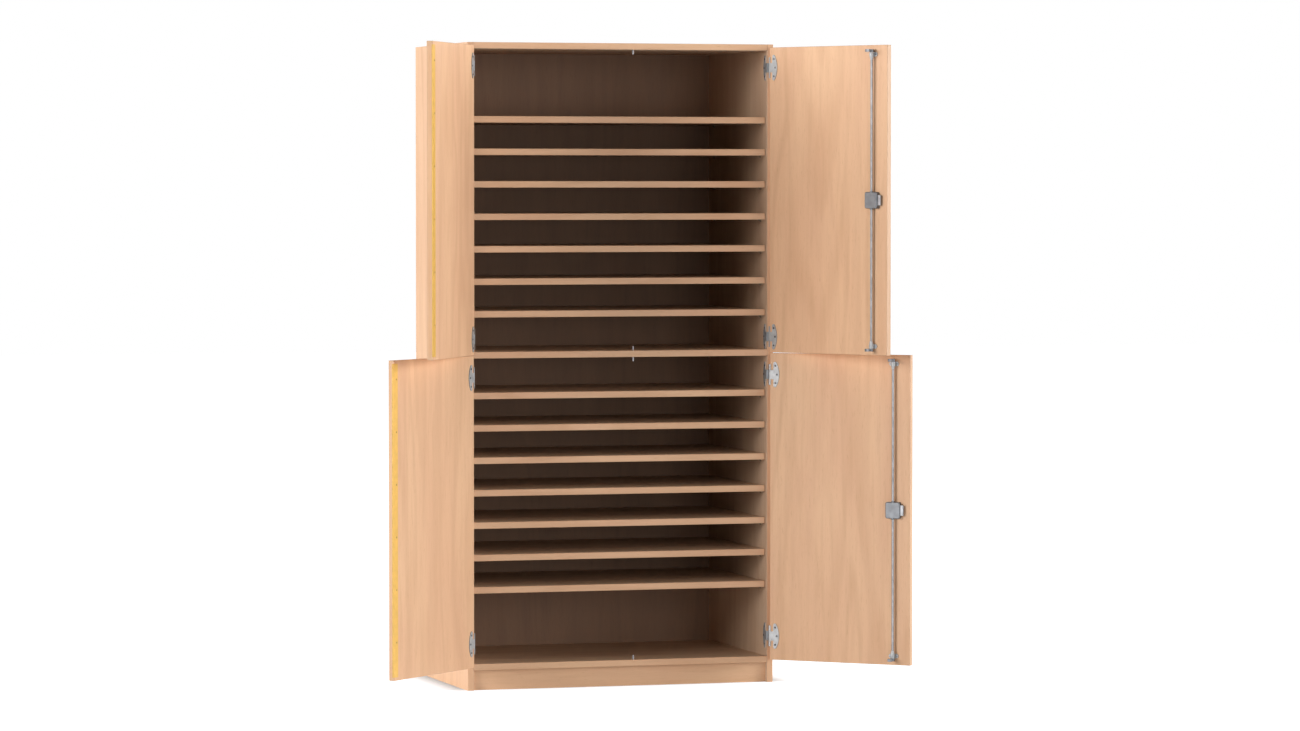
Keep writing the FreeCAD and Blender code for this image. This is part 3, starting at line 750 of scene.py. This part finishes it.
class CABINET_OT_strip_screws(bpy.types.Operator):
    """Screw the stop strips to the left doors"""

    bl_idname = "cabinet.strip_screws"
    bl_label = "Strip screws"

    def execute(self, context):
        sizes = context.scene.cabinet_screws
        colour = tuple(context.scene.cabinet_finishes.strip_screw)
        metal = plated_metal("strip_screw_brass", colour, STRIP_SCREW)
        for level in LEVELS:
            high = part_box(f"{level}_stop_strip")[1]
            door = f"{level}_left_door"
            swing = door_swing(door)
            strip_low, strip_high = closed_box(f"{level}_stop_strip", door)
            middle = (strip_low.x + closed_box(door, door)[1].x) / 2
            places = []
            for i in range(sizes.strip_count):
                height = high.z - sizes.strip_margin - i * sizes.strip_pitch
                seat = Vector((middle, strip_high.y, height))
                places.append(swing @ facing(seat, INTO_CABINET))
            screw_on(f"{level}_strip_screws", places, metal, door, sizes)
        return {"FINISHED"}


class CABINET_OT_guide_screws(bpy.types.Operator):
    """Screw the rod guides to the right doors"""

    bl_idname = "cabinet.guide_screws"
    bl_label = "Guide screws"

    def execute(self, context):
        sizes = context.scene.cabinet_screws
        metal = plated_metal("guide_screw_steel", tuple(context.scene.cabinet_finishes.steel), GUIDE_SCREW)
        for level in LEVELS:
            rod_low, rod_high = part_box(f"{level}_lock_rod")
            door = f"{level}_right_door"
            swing = door_swing(door)
            axis = swing.inverted() @ Vector(joint_named(f"{level}_rod_turn")["pos_m"])
            foot = closed_box(door, door)[1].y + sizes.guide_foot
            places = []
            for height in (rod_low.z + sizes.guide_margin, rod_high.z - sizes.guide_margin):
                for side in (-sizes.guide_reach, sizes.guide_reach):
                    seat = Vector((axis.x + side, foot, height))
                    places.append(swing @ facing(seat, INTO_CABINET))
            screw_on(f"{level}_guide_screws", places, metal, door, sizes)
        return {"FINISHED"}


def seen_or_mirrored(nodes, links):
    """1 for rays from the camera, from gloss and through glass, 0 for the light that bounces"""
    path = nodes.new("ShaderNodeLightPath")
    seen = path.outputs["Is Camera Ray"]
    for ray in ("Is Glossy Ray", "Is Transmission Ray"):
        either = nodes.new("ShaderNodeMath")
        either.operation = "MAXIMUM"
        links.new(seen, either.inputs[0])
        links.new(path.outputs[ray], either.inputs[1])
        seen = either.outputs[0]
    return seen


class CABINET_OT_stage(bpy.types.Operator):
    """Set the white floor, the soft light and the camera"""

    bl_idname = "cabinet.stage"
    bl_label = "Stage"

    def execute(self, context):
        scene = context.scene
        setup = scene.cabinet_stage
        self.floor(scene, setup)
        self.world(scene, setup)
        for name in LAMPS:
            self.lamp(scene, setup, name)
        self.camera(scene, setup)
        scene.view_settings.view_transform = "Standard"
        return {"FINISHED"}

    @staticmethod
    def floor(scene, setup):
        """A floor that looks white, apart from the shade close to the carcass"""
        shape = bmesh.new()
        bmesh.ops.create_grid(shape, x_segments=1, y_segments=1, size=setup.floor_reach)
        mesh = bpy.data.meshes.new("studio_floor")
        shape.to_mesh(mesh)
        shape.free()
        ground = bpy.data.objects.new("studio_floor", mesh)
        scene.collection.objects.link(ground)
        sheet = ShaderSheet("studio_white")
        sheet.surface.inputs["Base Color"].default_value = (*setup.floor_colour, 1.0)
        sheet.surface.inputs["Roughness"].default_value = 1.0
        sheet.surface.inputs["Specular IOR Level"].default_value = 0.0
        low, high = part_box("left_side_panel")[0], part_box("right_side_panel")[1]
        low.y += setup.shade_setback
        level = sheet.ranged(sheet.distance_from(low, high), 0.0, setup.shade_reach, 0.0, 1.0)
        glow = sheet.add("ShaderNodeMath", operation="MULTIPLY")
        sheet.wire(seen_or_mirrored(sheet.nodes, sheet.links), glow.inputs[0])
        sheet.wire(level, glow.inputs[1])
        sheet.surface.inputs["Emission Color"].default_value = (*WHITE, 1.0)
        sheet.wire(glow.outputs[0], sheet.surface.inputs["Emission Strength"])
        mesh.materials.append(sheet.material)

    @staticmethod
    def world(scene, setup):
        """A white surrounding that lights the cabinet only a little"""
        world = bpy.data.worlds.new("studio_dome")
        world.use_nodes = True
        scene.world = world
        nodes, links = world.node_tree.nodes, world.node_tree.links
        ambient = nodes["Background"]
        white = nodes.new("ShaderNodeBackground")
        for shader, strength in ((ambient, setup.dome), (white, 1.0)):
            shader.inputs["Color"].default_value = (*WHITE, 1.0)
            shader.inputs["Strength"].default_value = strength
        blend = nodes.new("ShaderNodeMixShader")
        links.new(seen_or_mirrored(nodes, links), blend.inputs["Fac"])
        links.new(ambient.outputs["Background"], blend.inputs[1])
        links.new(white.outputs["Background"], blend.inputs[2])
        links.new(blend.outputs["Shader"], nodes["World Output"].inputs["Surface"])

    @staticmethod
    def lamp(scene, setup, name):
        """A round soft light that faces the cabinet"""
        light = bpy.data.lights.new(f"soft_{name}", "AREA")
        light.shape = "DISK"
        light.size = setup.lamp_size
        light.energy = getattr(setup, f"{name}_power")
        lamp = bpy.data.objects.new(f"soft_{name}", light)
        lamp.location = getattr(setup, f"{name}_place")
        aim = Vector(setup.lamp_aim) - lamp.location
        lamp.rotation_euler = aim.to_track_quat("-Z", "Y").to_euler()
        scene.collection.objects.link(lamp)

    @staticmethod
    def camera(scene, setup):
        """The camera at the photograph's viewing angle"""
        lens = bpy.data.cameras.new("photo_camera")
        lens.sensor_fit = "HORIZONTAL"
        lens.sensor_width = setup.sensor
        lens.lens = setup.lens
        lens.clip_end = setup.sight
        eye = bpy.data.objects.new("photo_camera", lens)
        eye.location = setup.camera_place
        eye.rotation_euler = (math.pi / 2 - setup.camera_pitch, 0.0, -setup.camera_yaw)
        scene.collection.objects.link(eye)
        scene.camera = eye


STEPS = (
    CABINET_OT_board_finishes,
    CABINET_OT_metal_finishes,
    CABINET_OT_hinge_screws,
    CABINET_OT_strip_screws,
    CABINET_OT_guide_screws,
    CABINET_OT_stage,
)

SETTINGS = {
    "cabinet_finishes": CabinetFinishes,
    "cabinet_screws": CabinetScrews,
    "cabinet_stage": CabinetStage,
}


class CABINET_PT_panel(bpy.types.Panel):
    """Steps and settings of the cabinet"""

    bl_idname = "CABINET_PT_panel"
    bl_label = "Craft cabinet"
    bl_space_type = "VIEW_3D"
    bl_region_type = "UI"
    bl_category = "Cabinet"

    def draw(self, context):
        for step in STEPS:
            self.layout.operator(step.bl_idname)
        for key, cls in SETTINGS.items():
            column = self.layout.column()
            for setting in cls.__annotations__:
                column.prop(getattr(context.scene, key), setting)


def register():
    for cls in (*SETTINGS.values(), *STEPS, CABINET_PT_panel):
        bpy.utils.register_class(cls)
    for key, cls in SETTINGS.items():
        setattr(bpy.types.Scene, key, PointerProperty(type=cls))


def unregister():
    for key in SETTINGS:
        delattr(bpy.types.Scene, key)
    for cls in reversed((*SETTINGS.values(), *STEPS, CABINET_PT_panel)):
        bpy.utils.unregister_class(cls)


def main():
    register()
    bpy.ops.cabinet.board_finishes()
    bpy.ops.cabinet.metal_finishes()
    bpy.ops.cabinet.hinge_screws()
    bpy.ops.cabinet.strip_screws()
    bpy.ops.cabinet.guide_screws()
    bpy.ops.cabinet.stage()


if __name__ == "__main__":
    main()
